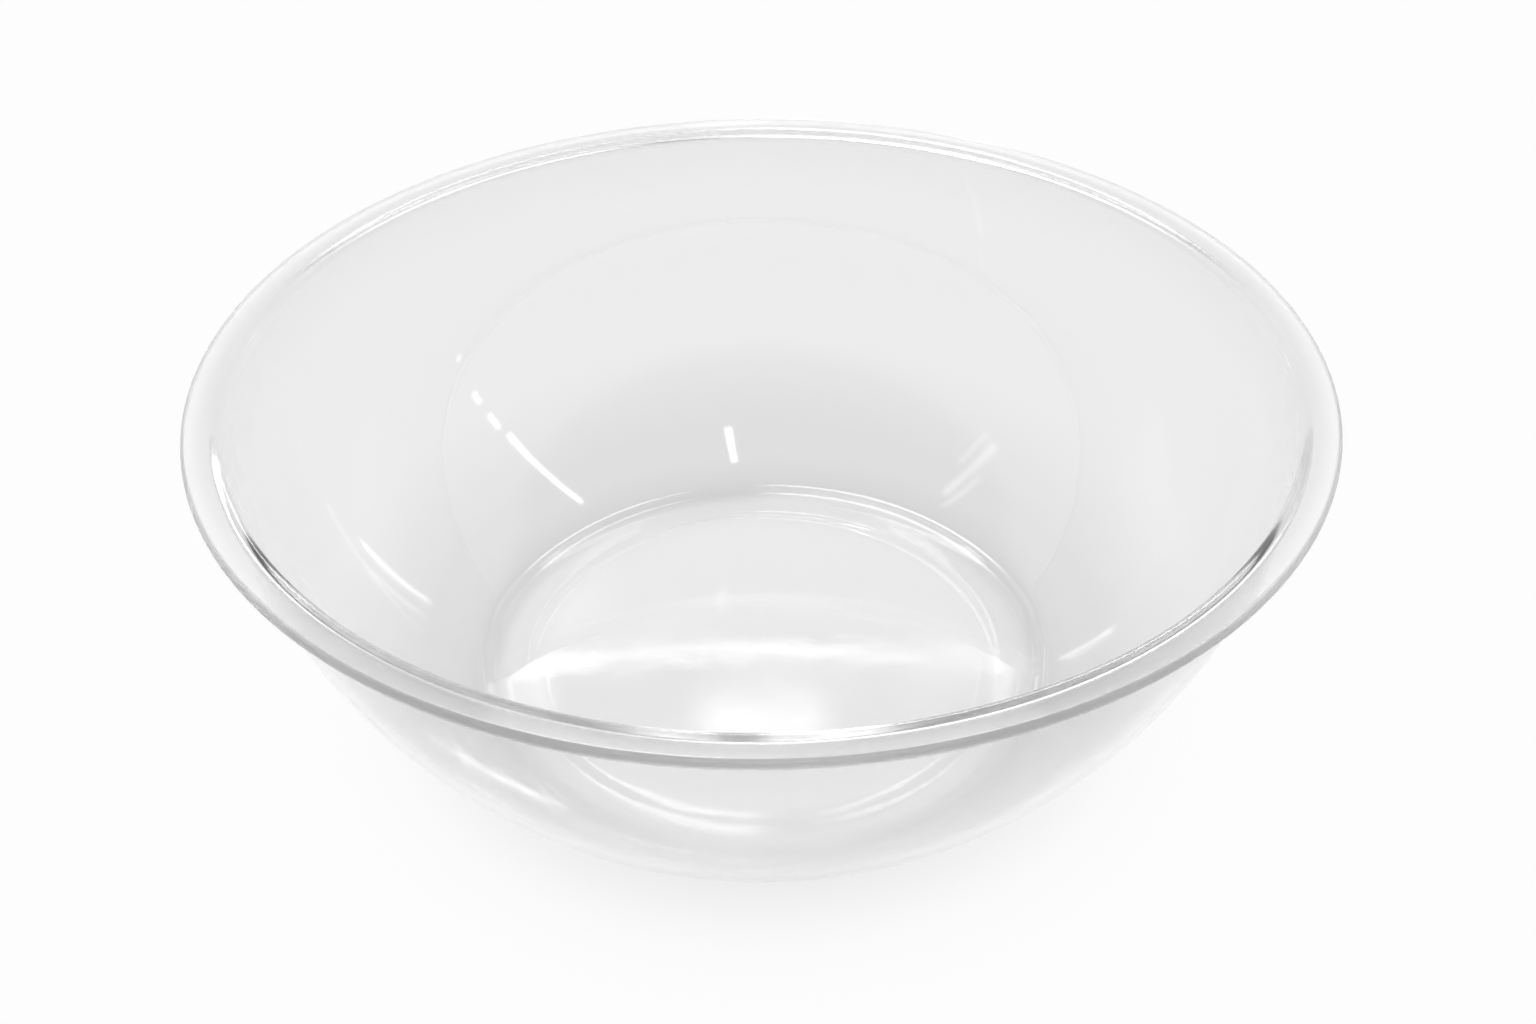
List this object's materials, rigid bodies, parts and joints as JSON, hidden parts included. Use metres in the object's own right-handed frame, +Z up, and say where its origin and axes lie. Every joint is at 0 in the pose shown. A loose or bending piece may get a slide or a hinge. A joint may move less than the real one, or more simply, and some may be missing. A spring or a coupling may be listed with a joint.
{
  "type": "serving bowl",
  "caption": "Wide round clear plastic serving bowl with a flat flanged rim, a curved tapering wall and a flat floor on a low foot ring; holds salad, fruit or dry food.",
  "frame": {"origin": "middle of the base, on the plane that the foot ring stands on", "axes": "+Z up along the bowl's axis of revolution, out of its mouth; +Y away from the front view"},
  "size_m": [0.381, 0.381, 0.133],
  "materials": {
    "clear_polycarbonate": "clear colourless moulded polycarbonate, polished, with faint flow waviness and light use marks"
  },
  "bodies": {
    "root": {"bowl": "clear_polycarbonate"}
  },
  "joints": []
}
